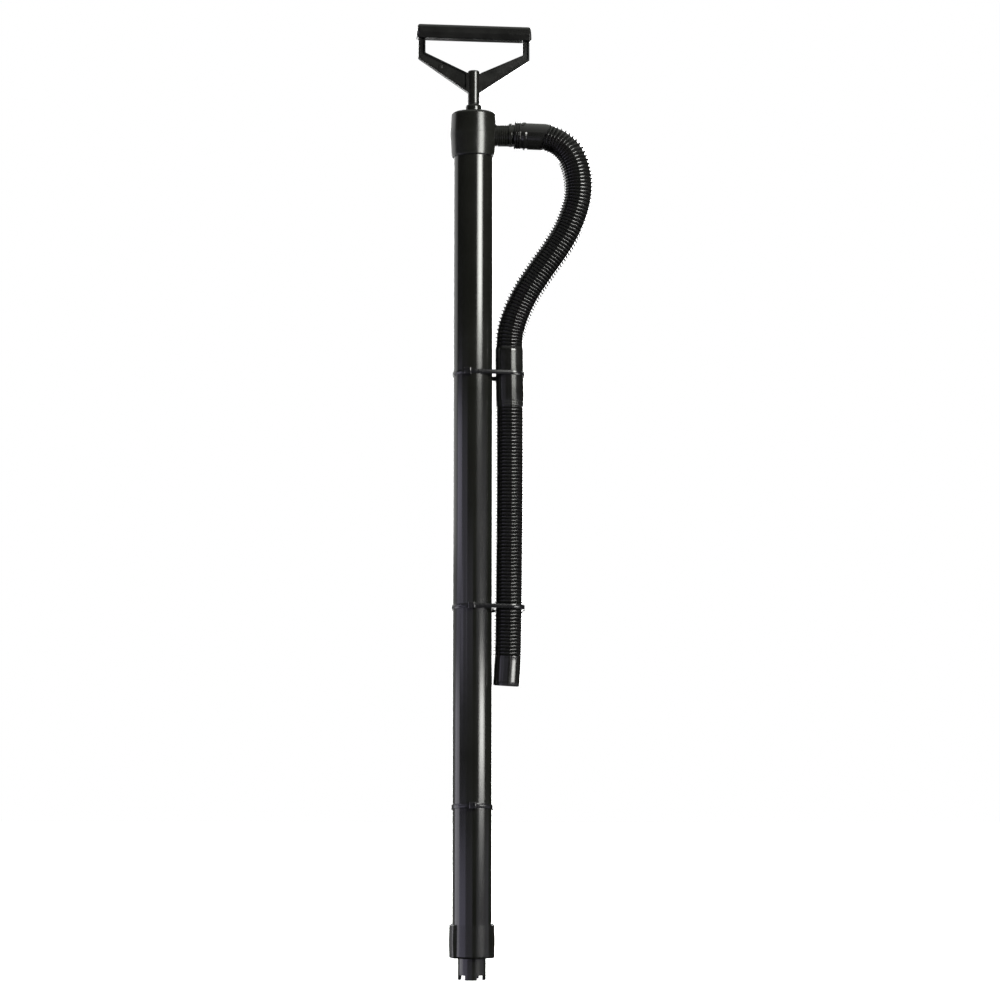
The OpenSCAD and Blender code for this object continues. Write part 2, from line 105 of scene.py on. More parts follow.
# Slot: the material's name, two colours, two roughnesses and patches, then what isn't plastic's own
PLASTICS = {
    "gloss_pipe": (
        "pipe", (0.0085, 0.0088, 0.0072), (0.0115, 0.0118, 0.0100), (0.14, 0.17), 18,
        {"grain": 140},
    ),
    "gloss_moulding": (
        "moulding", (0.009, 0.0093, 0.0078), (0.012, 0.0123, 0.0105), (0.19, 0.25), 40,
        {"grain": 300, "strength": 0.2},
    ),
    "satin_handle": (
        "satin", (0.008, 0.008, 0.0078), (0.012, 0.012, 0.0115), (0.17, 0.23), 60,
        {"grain": 300, "strength": 0.12, "specular": 0.24},
    ),
    "hose_plastic": (
        "hose", (0.008, 0.008, 0.0075), (0.011, 0.011, 0.0105), (0.15, 0.20), 60,
        {"grain": 300, "depth": 0.01, "strength": 0.1},
    ),
    "tie_nylon": (
        "nylon", (0.008, 0.008, 0.009), (0.012, 0.012, 0.013), (0.16, 0.22), 120,
        {"grain": 600, "strength": 0.2},
    ),
    "seal_rubber": (
        "rubber", (0.016, 0.016, 0.016), (0.024, 0.024, 0.024), (0.55, 0.75), 90,
        {"grain": 1800, "depth": 0.05, "strength": 0.6},
    ),
    "valve_plastic": (
        "valve", (0.040, 0.040, 0.044), (0.055, 0.055, 0.060), (0.35, 0.50), 70,
        {"grain": 1200},
    ),
    "rod_plastic": (
        "rod", (0.022, 0.022, 0.024), (0.032, 0.032, 0.035), (0.20, 0.30), 50,
        {"grain": 600},
    ),
    "steel": (
        "steel", (0.56, 0.56, 0.57), (0.64, 0.64, 0.65), (0.25, 0.38), 200,
        {"grain": 2500},
    ),
}

# Light cards: name, azimuth, spread, bottom, top, radiance and tint
WHITE = (1, 1, 1)
CARDS = (
    ("strip_high", 40, 18, 0.93, 1.6, 10.5, (0.99, 1, 0.95)),
    ("strip_high_rim", 39, 32, 0.93, 1.6, 9, (0.99, 1, 0.95)),
    ("strip_low", 56, 22, 0.21, 0.32, 14, (1, 1, 0.96)),
    ("strip_low_rim", 57, 38, 0.15, 0.32, 8, (1, 1, 0.96)),
    ("strip_foot", 55, 30, 0.06, 0.20, 2, WHITE),
    ("right_middle", 55, 64, 0.34, 0.81, 0.36, (0.88, 0.85, 1)),
    ("right_floor", 68, 84, -0.6, 0.06, 0.38, (0.88, 0.85, 1)),
    ("right_back", 162, 36, 1.08, 2.0, 1.1, WHITE),
    ("strip_back_right", 166, 14, -0.4, 2.0, 8, WHITE),
    ("strip_back_left", -170, 10, -0.4, 2.0, 5, WHITE),
    ("left_back", -130, 50, 0.56, 2.0, 0.95, WHITE),
    ("left_back_low", -126, 34, -0.6, 0.56, 0.35, WHITE),
    ("left_upper", -84, 34, 0.52, 0.82, 1.9, (0.82, 0.79, 1)),
    ("left_middle", -82, 52, 0.33, 0.52, 0.8, (0.8, 0.77, 1)),
    ("left_front", -50, 36, 0.33, 0.80, 0.55, (0.82, 0.79, 1)),
    ("left_low", -98, 36, -0.6, 0.33, 2.0, (0.92, 0.9, 1)),
    ("left_floor", -60, 44, -0.6, 0.05, 1.25, (0.78, 0.75, 1)),
    ("front_floor", -18, 40, -0.9, 0.05, 0.4, (0.8, 0.77, 1)),
    ("front_middle", -18, 40, 0.33, 0.56, 0.4, (0.8, 0.77, 1)),
)
CARD_DISTANCE = 2.0  # metres


def low(node):
    """Lowest corner of a CAD node, in millimetres."""
    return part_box(node)[0] / MM


def high(node):
    """Highest corner of a CAD node, in millimetres."""
    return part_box(node)[1] / MM


# ---------------------------------------------------------------- mesh tools


def shade(obj, sharp=40):
    """Smooth shading, with edges over `sharp` degrees left sharp."""
    mesh = obj.data
    mesh.polygons.foreach_set("use_smooth", [True] * len(mesh.polygons))
    mesh.set_sharp_from_angle(angle=math.radians(sharp))
    return obj


def new_piece(name, points, faces, sharp=40):
    """Mesh object from points in millimetres."""
    mesh = bpy.data.meshes.new(name)
    mesh.from_pydata([Vector(p) * MM for p in points], [], faces)
    work = bmesh.new()
    work.from_mesh(mesh)
    bmesh.ops.recalc_face_normals(work, faces=work.faces)
    work.to_mesh(mesh)
    work.free()
    obj = bpy.data.objects.new(name, mesh)
    bpy.context.scene.collection.objects.link(obj)
    return shade(obj, sharp)


def upright(r, angle, z):
    """Place on a lathe whose axis is Z."""
    return r * math.cos(angle), r * math.sin(angle), z


def lathe(name, outline, sides=SIDES, place=upright, sharp=40):
    """Closed outline [(r, z), ...] turned round an axis. Points on the axis are shared."""
    points = []
    rings = []
    for r, z in outline:
        start = len(points)
        if r < 1e-6:
            points.append(place(0, 0, z))
            rings.append([start] * sides)
        else:
            points += [place(r, 2 * math.pi * k / sides, z) for k in range(sides)]
            rings.append([start + k for k in range(sides)])
    faces = []
    for i, ring in enumerate(rings):
        after = rings[(i + 1) % len(rings)]
        for k in range(sides):
            m = (k + 1) % sides
            face = list(dict.fromkeys([ring[k], ring[m], after[m], after[k]]))
            if len(face) > 2:
                faces.append(face)
    return new_piece(name, points, faces, sharp)


def extrude(name, outline, start, end, place):
    """Prism of a closed outline [(u, v), ...] from w = start to w = end."""
    n = len(outline)
    points = [place(u, v, w) for w in (start, end) for u, v in outline]
    faces = [[i, (i + 1) % n, n + (i + 1) % n, n + i] for i in range(n)]
    faces += [list(range(n)), list(range(2 * n - 1, n - 1, -1))]
    return new_piece(name, points, faces)


def pillow(name, outline, start, end, radius, place, steps=5):
    """Prism like extrude's, with its ends rounded off by drawing the outline in."""
    spans = [(min(values), max(values)) for values in zip(*outline)]
    middle = [(a + b) / 2 for a, b in spans]
    half = [(b - a) / 2 for a, b in spans]
    turns = [math.pi / 2 * k / steps for k in range(steps + 1)]
    arcs = [(1 - math.cos(turn), 1 - math.sin(turn)) for turn in turns]
    levels = [(start + radius * run, radius * inset) for run, inset in arcs]
    levels += [(end - radius * run, radius * inset) for run, inset in reversed(arcs)]
    n = len(outline)
    points = []
    for w, inset in levels:
        for u, v in outline:
            points.append(place(
                middle[0] + (u - middle[0]) * (1 - inset / half[0]),
                middle[1] + (v - middle[1]) * (1 - inset / half[1]), w,
            ))
    faces = []
    for i in range(len(levels) - 1):
        a = i * n
        faces += [(a + k, a + (k + 1) % n, a + n + (k + 1) % n, a + n + k) for k in range(n)]
    faces += [list(range(n)), list(range(len(points) - 1, len(points) - n - 1, -1))]
    return new_piece(name, points, faces, 50)


def facing_front(u, v, w):
    """Outline in X and Z, extruded along Y."""
    return u, w, v


def facing_side(u, v, w):
    """Outline in Y and Z, extruded along X."""
    return w, u, v


def facing_up(u, v, w):
    """Outline in X and Y, extruded along Z."""
    return u, v, w


def rounded(corners, steps=5):
    """Closed outline through corners (x, y, radius), each turned into an arc of that radius."""
    outline = []
    for i, (x, y, radius) in enumerate(corners):
        here = Vector((x, y))
        if not radius:
            outline.append((x, y))
            continue
        back = (Vector(corners[i - 1][:2]) - here).normalized()
        ahead = (Vector(corners[(i + 1) % len(corners)][:2]) - here).normalized()
        half = back.angle(ahead) / 2
        centre = here + (back + ahead).normalized() * radius / math.sin(half)
        first = here + back * radius / math.tan(half) - centre
        last = here + ahead * radius / math.tan(half) - centre
        begin = math.atan2(first.y, first.x)
        sweep = (math.atan2(last.y, last.x) - begin + math.pi) % (2 * math.pi) - math.pi
        for k in range(steps + 1):
            angle = begin + sweep * k / steps
            reach = radius * math.cos(angle), radius * math.sin(angle)
            outline.append((centre.x + reach[0], centre.y + reach[1]))
    return outline


def bake(obj):
    """Turns what the modifiers make into the object's own mesh."""
    bpy.context.view_layer.update()
    made = obj.evaluated_get(bpy.context.evaluated_depsgraph_get())
    before = obj.data
    obj.data = bpy.data.meshes.new_from_object(made)
    obj.modifiers.clear()
    bpy.data.meshes.remove(before)
    return obj


def combine(obj, tool, operation):
    """Boolean of obj with tool, which is then removed."""
    step = obj.modifiers.new("combine", "BOOLEAN")
    step.operation = operation
    step.solver = "EXACT"
    step.object = tool
    bake(obj)
    bpy.data.objects.remove(tool)
    return obj


def soften(obj, width, segments=3, angle=40):
    """Rounds the edges over `angle` degrees."""
    step = obj.modifiers.new("soften", "BEVEL")
    step.width = width * MM
    step.segments = segments
    step.limit_method = "ANGLE"
    step.angle_limit = math.radians(angle)
    return shade(bake(obj), 60)


def even_normals(obj):
    """Lets the large faces rule the shading, so that the fillets beside them don't tilt it."""
    step = obj.modifiers.new("even", "WEIGHTED_NORMAL")
    step.weight = 100
    step.keep_sharp = True
    return bake(obj)


def turned(obj, degrees):
    """Turns the mesh itself about the barrel's axis, so that the object stays at the origin."""
    obj.data.transform(Matrix.Rotation(math.radians(degrees), 4, "Z"))
    return obj


# ---------------------------------------------------------------- materials


def plastic(name, dark, light, rough, patch, grain, depth=0.02, strength=0.3, specular=0.5):
    """Plastic whose noise varies its colour and roughness, with a finer noise as its bump.

    rough gives the lowest and highest roughness, patch and grain the two noises' scales per metre,
    and depth the height of the bump in millimetres.
    """
    material = bpy.data.materials.new(name)
    material.use_nodes = True
    nodes = material.node_tree.nodes
    links = material.node_tree.links
    shader = nodes["Principled BSDF"]
    shader.inputs["Specular IOR Level"].default_value = specular
    place = nodes.new("ShaderNodeTexCoord")

    patches = nodes.new("ShaderNodeTexNoise")
    patches.inputs["Scale"].default_value = patch
    patches.inputs["Detail"].default_value = 5
    links.new(place.outputs["Object"], patches.inputs["Vector"])
    ramp = nodes.new("ShaderNodeValToRGB")
    ramp.color_ramp.elements[0].position = 0.35
    ramp.color_ramp.elements[0].color = (*dark, 1)
    ramp.color_ramp.elements[1].position = 0.65
    ramp.color_ramp.elements[1].color = (*light, 1)
    links.new(patches.outputs["Fac"], ramp.inputs["Fac"])
    links.new(ramp.outputs["Color"], shader.inputs["Base Color"])

    sheen = nodes.new("ShaderNodeMapRange")
    sheen.inputs["From Min"].default_value = 0.3
    sheen.inputs["From Max"].default_value = 0.7
    sheen.inputs["To Min"].default_value = rough[0]
    sheen.inputs["To Max"].default_value = rough[1]
    links.new(patches.outputs["Fac"], sheen.inputs["Value"])
    links.new(sheen.outputs["Result"], shader.inputs["Roughness"])

    grains = nodes.new("ShaderNodeTexNoise")
    grains.inputs["Scale"].default_value = grain
    grains.inputs["Detail"].default_value = 3
    links.new(place.outputs["Object"], grains.inputs["Vector"])
    bump = nodes.new("ShaderNodeBump")
    bump.inputs["Strength"].default_value = strength
    bump.inputs["Distance"].default_value = depth * MM
    links.new(grains.outputs["Fac"], bump.inputs["Height"])
    links.new(bump.outputs["Normal"], shader.inputs["Normal"])
    return material


def make_materials():
    """Every material, by the record's slot name."""
    made = {slot: plastic(*values, **own) for slot, (*values, own) in PLASTICS.items()}
    made["steel"].node_tree.nodes["Principled BSDF"].inputs["Metallic"].default_value = 1
    return made


MATERIALS = make_materials()


def finish_piece(obj, slot, body, *nodes):
    """Gives a piece its slot's material and its body, and hides the CAD nodes it stands for."""
    obj.data.materials.clear()
    obj.data.materials.append(MATERIALS[slot])
    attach(obj, body)
    if nodes:
        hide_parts(*nodes)
    return obj


def finish_cad_nodes():
    """Every CAD node in the record gets its slot's material."""
    for part in frame["record"]["subparts"]:
        node = frame["nodes"][part["node"]]
        node.data.materials.clear()
        node.data.materials.append(MATERIALS[part["material_slot"]])


# ---------------------------------------------------------------- camera, light and floor


def make_camera():
    """Camera at the photo's angle, in front of the pump and looking slightly up."""
    camera = bpy.data.objects.new("camera", bpy.data.cameras.new("camera"))
    camera.data.lens = CAMERA_LENS
    camera.data.sensor_width = 36
    camera.data.clip_end = 20
    camera.location = Vector((CAMERA_X, -CAMERA_DISTANCE, CAMERA_Z)) * MM
    camera.rotation_euler = (math.radians(90 + CAMERA_PITCH), math.radians(CAMERA_ROLL), 0)
    bpy.context.scene.collection.objects.link(camera)
    bpy.context.scene.camera = camera


def light_card(name, azimuth, spread, bottom, top, radiance, tint):
    """Soft light on edge round the pump. Azimuth 0 is in front and 90 is towards +X, in degrees.

    It fills `spread` degrees of azimuth, from bottom to top in metres.
    """
    light = bpy.data.lights.new(name, "AREA")
    light.shape = "RECTANGLE"
    light.size = 2 * CARD_DISTANCE * math.tan(math.radians(spread / 2))
    light.size_y = top - bottom
    light.energy = 4 * radiance * light.size * light.size_y
    light.color = tint
    angle = math.radians(azimuth)
    obj = bpy.data.objects.new(name, light)
    across = CARD_DISTANCE * math.sin(angle)
    ahead = -CARD_DISTANCE * math.cos(angle)
    obj.location = (across, ahead, (bottom + top) / 2)
    obj.rotation_euler = (math.pi / 2, 0, angle)
    obj.visible_camera = False
    bpy.context.scene.collection.objects.link(obj)


def make_lights():
    """The studio as the pump mirrors it: strips at the right and back, soft panels elsewhere."""
    for card in CARDS:
        light_card(*card)


def make_world():
    """White where the camera looks, and a dark room with a soft ceiling light everywhere else."""
    world = bpy.data.worlds.new("room")
    bpy.context.scene.world = world
    world.use_nodes = True
    nodes = world.node_tree.nodes
    links = world.node_tree.links
    place = nodes.new("ShaderNodeTexCoord")
    parts = nodes.new("ShaderNodeSeparateXYZ")
    links.new(place.outputs["Generated"], parts.inputs["Vector"])
    ramp = nodes.new("ShaderNodeValToRGB")
    ramp.color_ramp.elements[0].position = 0.4
    ramp.color_ramp.elements[0].color = (0.016, 0.017, 0.013, 1)
    ramp.color_ramp.elements[1].position = 1
    ramp.color_ramp.elements[1].color = (0.80, 0.82, 0.77, 1)
    links.new(parts.outputs["Z"], ramp.inputs["Fac"])
    room = nodes["Background"]
    links.new(ramp.outputs["Color"], room.inputs["Color"])
    seen = nodes.new("ShaderNodeBackground")
    seen.inputs["Color"].default_value = (1, 1, 1, 1)
    ray = nodes.new("ShaderNodeLightPath")
    choice = nodes.new("ShaderNodeMixShader")
    links.new(ray.outputs["Is Camera Ray"], choice.inputs["Fac"])
    links.new(room.outputs["Background"], choice.inputs[1])
    links.new(seen.outputs["Background"], choice.inputs[2])
    links.new(choice.outputs["Shader"], nodes["World Output"].inputs["Surface"])


def make_floor():
    """Plain pale floor that the teeth stand on, kept out of the pump's reflections."""
    half = 4000
    corners = [(-half, -half, 0), (half, -half, 0), (half, half, 0), (-half, half, 0)]
    floor = new_piece("floor", corners, [(0, 1, 2, 3)])
    material = bpy.data.materials.new("floor")
    material.use_nodes = True
    shader = material.node_tree.nodes["Principled BSDF"]
    shader.inputs["Base Color"].default_value = (0.9, 0.9, 0.9, 1)
    shader.inputs["Roughness"].default_value = 0.9
    shader.inputs["Specular IOR Level"].default_value = 0.1
    shader.inputs["Emission Color"].default_value = (1, 1, 1, 1)
    shader.inputs["Emission Strength"].default_value = 1
    floor.data.materials.append(material)
    floor.visible_glossy = False
    floor.visible_diffuse = False
    floor.visible_shadow = False


# ---------------------------------------------------------------- hose


def spline(points, i, t):
    """Catmull-Rom point between points[i] and points[i + 1]."""
    last = len(points) - 1
    a, b, c, d = (Vector(points[min(max(k, 0), last)]) for k in (i - 1, i, i + 1, i + 2))
    square = 2 * a - 5 * b + 4 * c - d
    cube = 3 * b - a - 3 * c + d
    return 0.5 * (2 * b + (c - a) * t + square * t**2 + cube * t**3)


class Line:
    """Polyline in the XZ plane that gives its point and direction at a distance along it."""

    def __init__(self, points):
        self.points = points
        self.reach = [0]
        for a, b in zip(points, points[1:]):
            self.reach.append(self.reach[-1] + (b - a).length)
        self.length = self.reach[-1]
        self.leg = 0

    def at(self, distance):
        """Point at that distance; asked for in rising order, or from the start again."""
        if distance < self.reach[self.leg]:
            self.leg = 0
        while self.leg < len(self.points) - 2 and self.reach[self.leg + 1] < distance:
            self.leg += 1
        span = self.reach[self.leg + 1] - self.reach[self.leg]
        share = (distance - self.reach[self.leg]) / span
        return self.points[self.leg].lerp(self.points[self.leg + 1], share)

    def direction(self, distance, step=1.5):
        """Direction there, taken over `step` on either side."""
        ahead = self.at(min(distance + step, self.length))
        behind = self.at(max(distance - step, 0))
        return (ahead - behind).normalized()


def hose_line(spout_z):
    """Centreline: straight out of the spout, round the route, and down the leaning end cuff."""
    steps = 12
    points = [Vector((SPOUT_REACH, spout_z))]
    for i in range(len(ROUTE) - 1):
        points += [spline(ROUTE, i, k / steps) for k in range(steps)]
    foot = Vector(ROUTE[-1])
    lean = math.radians(END_CUFF_LEAN)
    points += [foot, foot + END_CUFF_LENGTH * Vector((-math.sin(lean), -math.cos(lean)))]
    return Line(points)


def distance_to(line, target):
    """Distance along the line to the point of it that is nearest to target."""
    gaps = [(p - Vector(target)).length for p in line.points]
    return line.reach[gaps.index(min(gaps))]


def ridge_rows(start, end):
    """Rows (distance, radius) of one stretch of narrow ridges with flat valleys between them."""
    pitch = (end - start) / RIDGES
    shape = [(share, ROOT_R + height * (CREST_R - ROOT_R)) for share, height in RIDGE_SHAPE]
    rows = []
    for i in range(RIDGES):
        crest = start + (i + 0.5) * pitch
        rows += [(crest - share * pitch, radius) for share, radius in reversed(shape)]
        rows += [(crest + share * pitch, radius) for share, radius in shape[1:]]
    return rows


def cuff_rows(start, end, radius, step=4):
    """Rows of a smooth stretch."""
    count = max(1, round((end - start) / step))
    return [(start + (end - start) * k / count, radius) for k in range(count + 1)]


def groove_rows(middle, radius, depth=0.9, width=1.5):
    """Rows of a round-bottomed groove."""
    steps = 6
    rows = []
    for k in range(steps + 1):
        share = k / steps
        rows.append((middle + width * (share - 0.5), radius - depth * math.sin(math.pi * share)))
    return rows


def bead_rows(start, radius, height=0.8, width=6):
    """Rows of a gentle bead."""
    steps = 6
    return [
        (start + width * k / steps, radius + height * math.sin(math.pi * k / steps))
        for k in range(steps + 1)
    ]


def hose_rows(line):
    """All rows of the hose's outside, from the spout to the open end."""
    ridges_start = distance_to(line, ROUTE[0])
    mid_start = distance_to(line, ROUTE[CUFF_TOP])
    mid_end = distance_to(line, ROUTE[CUFF_FOOT])
    end_start = distance_to(line, ROUTE[-1])
    end = line.length
    rows = [(0.1, LIP_R - 0.6), (0.7, LIP_R)]
    rows += groove_rows(2.4, LIP_R) + groove_rows(4.9, LIP_R)
    rows += [(LIP_LENGTH - 0.6, LIP_R), (LIP_LENGTH - 0.1, LIP_R - 0.3)]
    rows += [(LIP_LENGTH + 0.2, INLET_R)]
    rows += bead_rows(LIP_LENGTH + 0.8, INLET_R)
    rows += cuff_rows(LIP_LENGTH + 7.5, ridges_start - 1, INLET_R)
    rows += ridge_rows(ridges_start, mid_start)
    rows += cuff_rows(mid_start + 0.6, mid_end - 6.5, MID_CUFF_R)
    for before_end in (5.2, 2.6):
        rows += groove_rows(mid_end - before_end, MID_CUFF_R, 0.4)
    rows += [(mid_end - 0.6, MID_CUFF_R)]
    rows += ridge_rows(mid_end, end_start)
    rows += cuff_rows(end_start + 0.8, end - 1, END_CUFF_R)
    rows += [(end - 0.3, END_CUFF_R - 0.2), (end, END_CUFF_R - 0.8)]
    return rows


def make_hose(spout_z):
    """One hollow mesh: the rows of the outside, and then the smooth bore back to the spout."""
    line = hose_line(spout_z)
    rows = hose_rows(line)
    rows += reversed(cuff_rows(0.1, line.length, HOSE_BORE_R, 8))
    points = []
    seam = HOSE_SIDES * 3 // 4 + 1  # the mould's seam, just beside the front
    for distance, radius in rows:
        middle = line.at(distance)
        ahead = line.direction(distance)
        for k in range(HOSE_SIDES):
            angle = 2 * math.pi * k / HOSE_SIDES
            r = radius + (SEAM_HEIGHT if k == seam and radius > HOSE_BORE_R else 0)
            out = r * math.cos(angle)
            points.append((middle.x - ahead.y * out, r * math.sin(angle), middle.y + ahead.x * out))
    faces = []
    for i in range(len(rows)):
        a = i * HOSE_SIDES
        b = (i + 1) % len(rows) * HOSE_SIDES
        for k in range(HOSE_SIDES):
            m = (k + 1) % HOSE_SIDES
            faces.append((a + k, a + m, b + m, b + k))
    hose = new_piece("corrugated_hose", points, faces, 60)
    stands_for = ("discharge_hose", "hose_inlet_cuff", "hose_end_cuff")
    finish_piece(hose, "hose_plastic", "pump_body", *stands_for)


# ---------------------------------------------------------------- barrel and head


def along_spout(spout_z):
    """Place on a lathe whose axis is the spout's."""
    return lambda r, angle, x: (x, r * math.cos(angle), spout_z + r * math.sin(angle))


def make_barrel(spout_z):
    """Extruded pipe with the discharge port drilled in its side."""
    outer = high("barrel").x
    inner = outer - BARREL_WALL
    bottom = low("barrel").z
    top = high("barrel").z
    outline = rounded([
        (inner, bottom, 0.3), (outer, bottom, 0.4), (outer, top, 0.4), (inner, top, 0.3),
    ], 2)
    barrel = lathe("barrel_pipe", outline, 256)
    port = [(0, 10), (SPOUT_BORE_R, 10), (SPOUT_BORE_R, 30), (0, 30)]
    combine(barrel, lathe("port", port, 96, along_spout(spout_z)), "DIFFERENCE")
    even_normals(shade(barrel))
    finish_piece(barrel, "gloss_pipe", "pump_body", "barrel")


def spout_outline():
    """Spout in (radius, X): fine rings, a plain ring, and the spigot inside the hose."""
    neck_start = 15
    neck_end = 24
    neck_r = 11.2
    valley_r = 11.45
    crest_r = 12
    ring_r = 13.1
    spigot_r = 11.9
    spigot_end = SPOUT_REACH + 18
    ring_start = SPOUT_REACH - 5.7
    pitch = 2
    crests = 7
    outline = [(0, neck_start), (neck_r, neck_start), (neck_r, neck_end)]
    for i in range(crests):
        x = ring_start - pitch * (crests - i)
        outline += [(valley_r, x), (crest_r, x + 0.5), (crest_r, x + 1.1), (valley_r, x + 1.6)]
    outline += rounded([
        (valley_r, ring_start, 0), (ring_r, ring_start, 0.5), (ring_r, SPOUT_REACH, 0.4),
    ], 3)
    outline += [(spigot_r, SPOUT_REACH), (spigot_r, spigot_end - 0.5)]
    outline += [(spigot_r - 0.5, spigot_end), (0, spigot_end)]
    return outline


def make_head(spout_z):
    """Double-drafted cap with a spout on its side and the gland's hole in its top."""
    bottom = low("pump_head").z
    top = high("pump_head").z
    barrel_r = high("barrel").x + SOCKET_GAP
    barrel_end = high("barrel").z
    ledge = barrel_end + 2.5
    rod_gap_r = 5.6
    parting = spout_z + 1
    widest = 25.15
    foot_r = 23.8
    top_r = 23.95
    outline = rounded([
        (barrel_r, bottom, 0.3), (foot_r, bottom, 0.8), (widest, parting - 0.15, 0),
        (widest + 0.12, parting, 0), (widest, parting + 0.15, 0), (top_r, top, 3.2),
        (GLAND_R, top, 0.3), (GLAND_R, ledge, 0), (rod_gap_r, ledge, 0),
        (rod_gap_r, barrel_end, 0), (barrel_r, barrel_end, 0),
    ], 6)
    head = lathe("head_cap", outline, 256)
    combine(head, lathe("spout", spout_outline(), 128, along_spout(spout_z)), "UNION")
    # The slope under the spout, from its neck to the cap's rim
    past = 60
    below = bottom - 14
    slope_top = bottom + 12.5
    wedge = [(18, below), (past, below), (past, slope_top), (25.6, slope_top), (21.9, bottom)]
    combine(head, extrude("wedge", wedge, -30, 30, facing_front), "DIFFERENCE")
    clear = 0.02  # a little over the cap's own socket, so that none of the spout stays inside
    socket_r = barrel_r + clear
    socket_end = barrel_end + clear
    socket = [(0, bottom - 5), (socket_r, bottom - 5), (socket_r, socket_end), (0, socket_end)]
    combine(head, lathe("socket", socket, 256), "DIFFERENCE")
    reach = SPOUT_REACH + 25
    bore = [(0, 0), (SPOUT_BORE_R, 0), (SPOUT_BORE_R, reach), (0, reach)]
    combine(head, lathe("bore", bore, 96, along_spout(spout_z)), "DIFFERENCE")
    even_normals(shade(head, 30))
    finish_piece(head, "gloss_moulding", "pump_body", "pump_head")


def make_collar():
    """Gland collar: a bulb round the rod on top of the head, with a threaded shank below."""
    bore = ROD_R + 0.05
    bulb = 8.6
    neck = 6.3
    shank = low("gland_collar").z
    seat = high("pump_head").z
    top = high("gland_collar").z
    outline = rounded([
        (bore, shank, 0), (GLAND_R, shank, 0.4), (GLAND_R, seat + 0.6, 0), (bulb, seat + 2.2, 1.2),
        (bulb, seat + 8.2, 2.8), (neck, seat + 9, 0.3), (neck, top, 0.3), (bore, top, 0.3),
    ], 5)
    collar = even_normals(lathe("gland_bulb", outline, 96))
    finish_piece(collar, "gloss_moulding", "pump_body", "gland_collar")


# ---------------------------------------------------------------- foot


def make_coupling():
    """Thin sleeve round the barrel's foot, with a moulded lug on each side."""
    bottom = low("foot_coupling").z
    top = high("foot_coupling").z
    middle = (bottom + top) / 2
    lug_r = 24.7
    lug_end_r = lug_r - 0.5
    lug_turn = 5
    half_width = 12.5
    past_lugs = 40
    socket = high("barrel").x + SOCKET_GAP
    sleeve = socket + 0.35
    flange = low("foot_gasket").z - 6
    mouth_r = 15.65
    lug_ring = rounded([
        (5, bottom, 0), (lug_end_r, bottom, 1.2), (lug_r, middle, 40), (lug_end_r, top, 1.2),
        (5, top, 0),
    ], 6)
    coupling = lathe("coupling_lugs", lug_ring, SIDES)
    slab = rounded([
        (-past_lugs, -half_width, 0), (past_lugs, -half_width, 0),
        (past_lugs, half_width, 0), (-past_lugs, half_width, 0),
    ])
    combine(coupling, extrude("slab", slab, bottom - 5, top + 5, facing_up), "INTERSECT")
    turned(coupling, lug_turn)
    soften(coupling, 0.8)
    body = [
        (0, bottom), (sleeve - 2, bottom), (sleeve, bottom + 2), (socket + 0.08, top), (0, top),
    ]
    combine(coupling, lathe("sleeve", body, SIDES), "UNION")
    inside = [(0, flange), (socket, flange), (socket, top + 5), (0, top + 5)]
    combine(coupling, lathe("inside", inside, SIDES), "DIFFERENCE")
    mouth = [(0, bottom - 5), (mouth_r, bottom - 5), (mouth_r, flange + 1), (0, flange + 1)]
    combine(coupling, lathe("mouth", mouth, SIDES), "DIFFERENCE")
    even_normals(shade(coupling, 35))
    finish_piece(coupling, "gloss_moulding", "pump_body", "foot_coupling")


def make_intake():
    """Intake spigot with four teeth, and the flange that the foot valve sits on."""
    top = high("intake_foot").z
    flange = top - 3
    step = low("foot_coupling").z
    bore = 12.5
    spigot = 15
    neck = 15.6
    rim = high("barrel").x
    outline = rounded([
        (bore, 0, 0.5), (spigot, 0, 0.5), (spigot, step, 0), (neck, step, 0.2), (neck, flange, 0),
        (rim, flange, 0.3), (rim, top, 0.3), (bore, top, 0.3),
    ], 3)
    foot = lathe("toothed_foot", outline, SIDES)
    teeth = 4
    first_tooth = -4  # degrees from +X to its middle
    tooth = math.radians(50)
    notch = math.radians(40)
    depth = 5
    past_rim = 30
    for i in range(teeth):
        start = math.radians(90 * i + first_tooth) + tooth / 2
        edges = [(past_rim * math.cos(a), past_rim * math.sin(a)) for a in (start, start + notch)]
        cutter = extrude("notch", [(0, 0), *edges], -5, depth, facing_up)
        combine(foot, cutter, "DIFFERENCE")
    even_normals(soften(foot, 0.35, 2, 50))
    finish_piece(foot, "gloss_moulding", "pump_body", "intake_foot")


# ---------------------------------------------------------------- cable ties


def belt(r1, r2, span):
    """Outline of a strap drawn tight round two circles, as (x, y) and the outward direction.

    Where the span between them is 0, it goes round the first circle only.
    """
    if not span:
        angles = [2 * math.pi * k / 96 for k in range(96)]
        return [(Vector((r1 * math.cos(a), r1 * math.sin(a))), a) for a in angles]
    lean = math.acos((r1 - r2) / span)
    points = []
    for k in range(65):
        a = lean + (2 * math.pi - 2 * lean) * k / 64
        points.append((Vector((r1 * math.cos(a), r1 * math.sin(a))), a))
    for k in range(49):
        a = -lean + 2 * lean * k / 48
        points.append((Vector((span + r2 * math.cos(a), r2 * math.sin(a))), a))
    return points


